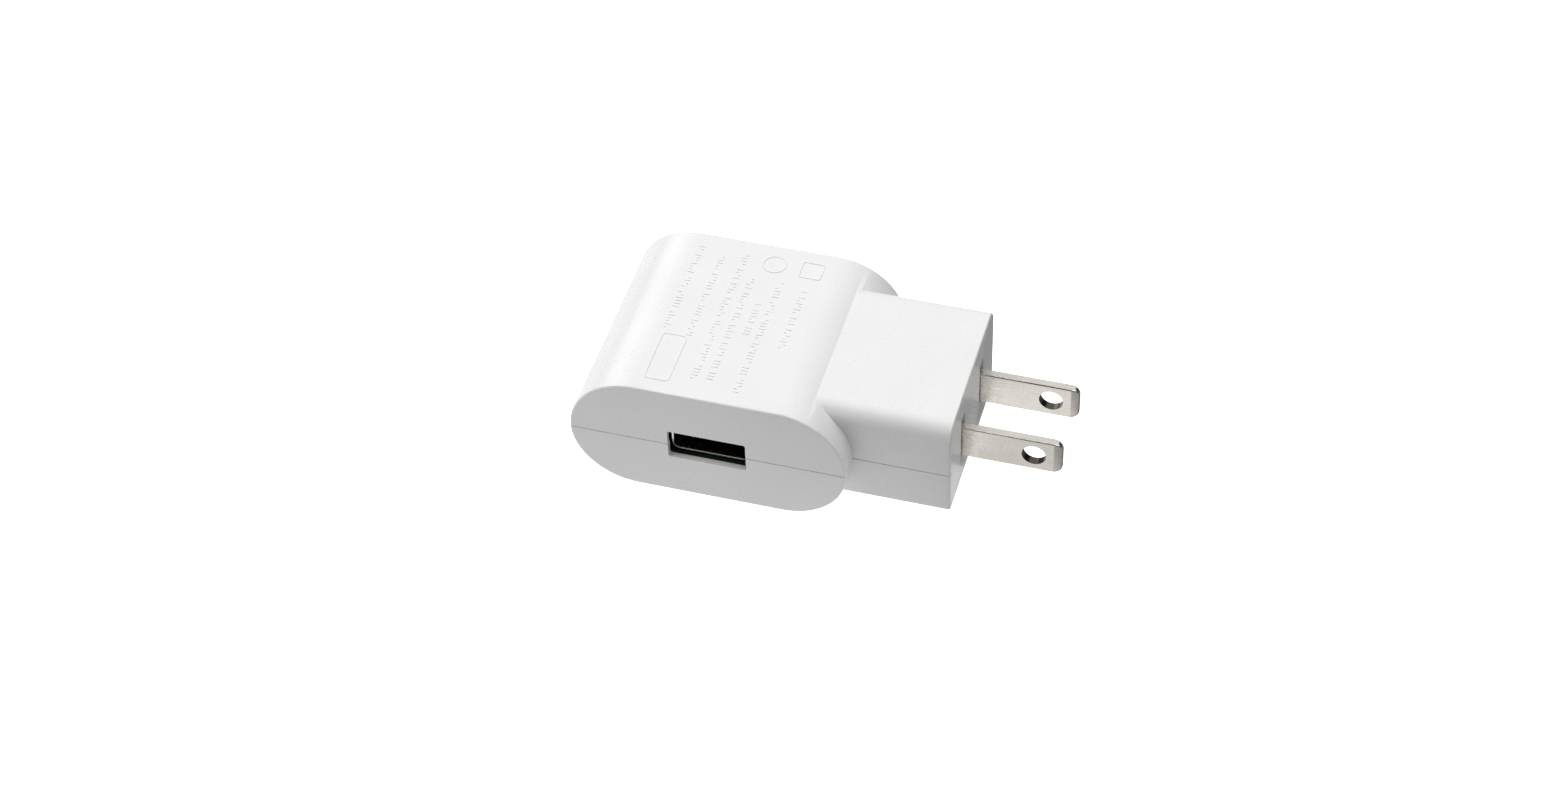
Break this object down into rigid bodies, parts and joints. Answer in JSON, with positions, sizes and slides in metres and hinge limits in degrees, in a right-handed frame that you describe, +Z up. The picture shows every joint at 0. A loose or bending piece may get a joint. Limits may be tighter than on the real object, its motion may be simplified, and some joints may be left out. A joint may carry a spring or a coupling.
{
  "type": "usb wall charger",
  "caption": "Compact USB wall charger: a flat-topped body with rounded sides, a USB socket in one end face and a block at the side that carries a fixed two-blade mains plug.",
  "frame": {"origin": "middle of the footprint of the whole object, on the surface it lies on", "axes": "+X along the plug blades, away from the body; +Y away from the USB socket; +Z up from the flat underside"},
  "size_m": [0.0796, 0.0386, 0.0226],
  "materials": {
    "white_plastic": "fine satin moulded finish",
    "nickel": "nickel plated brass, satin",
    "shell_steel": "bright pressed steel",
    "contact_gold": "gold plated",
    "black_plastic": "moulded",
    "board_green": "solder mask on glass-fibre board",
    "ferrite": "matt grey ferrite",
    "tape_yellow": "polyester tape",
    "copper_wire": "enamelled copper wire",
    "capacitor_sleeve": "shrunk sleeve",
    "resistor_body": "painted",
    "shrink_sleeve": "shrink tube",
    "disc_blue": "dipped coating",
    "chip_black": "moulded epoxy",
    "chip_tan": "fired ceramic",
    "tinned_wire": "tinned",
    "red_insulation": "insulated wire"
  },
  "bodies": {
    "root": {"blade_lead_front": "red_insulation", "blade_lead_rear": "red_insulation", "bridge_rectifier": "chip_black", "chip_capacitor_1": "chip_tan", "chip_capacitor_2": "chip_tan", "chip_resistor_1": "chip_black", "chip_resistor_2": "chip_black", "chip_resistor_3": "chip_black", "chip_resistor_4": "chip_black", "controller_chip": "chip_black", "filter_choke_core": "ferrite", "filter_choke_winding": "copper_wire", "fusible_resistor": "resistor_body", "input_capacitor_1": "capacitor_sleeve", "input_capacitor_2": "capacitor_sleeve", "lower_housing": "white_plastic", "main_circuit_board": "board_green", "output_capacitor_1": "capacitor_sleeve", "output_capacitor_2": "capacitor_sleeve", "output_diode": "chip_black", "plug_blade_front": "nickel", "plug_blade_rear": "nickel", "plug_end_plate": "white_plastic", "resistor_sleeve": "shrink_sleeve", "safety_capacitor": "disc_blue", "transformer_bobbin": "black_plastic", "transformer_core_front": "ferrite", "transformer_core_rear": "ferrite", "transformer_pin_1": "tinned_wire", "transformer_pin_2": "tinned_wire", "transformer_pin_3": "tinned_wire", "transformer_pin_4": "tinned_wire", "transformer_pin_5": "tinned_wire", "transformer_pin_6": "tinned_wire", "transformer_pin_7": "tinned_wire", "transformer_pin_8": "tinned_wire", "transformer_tape": "tape_yellow", "transformer_winding": "tape_yellow", "upper_housing": "white_plastic", "usb_contact_1": "contact_gold", "usb_contact_2": "contact_gold", "usb_contact_3": "contact_gold", "usb_contact_4": "contact_gold", "usb_insulator": "black_plastic", "usb_shell": "shell_steel"}
  },
  "joints": []
}
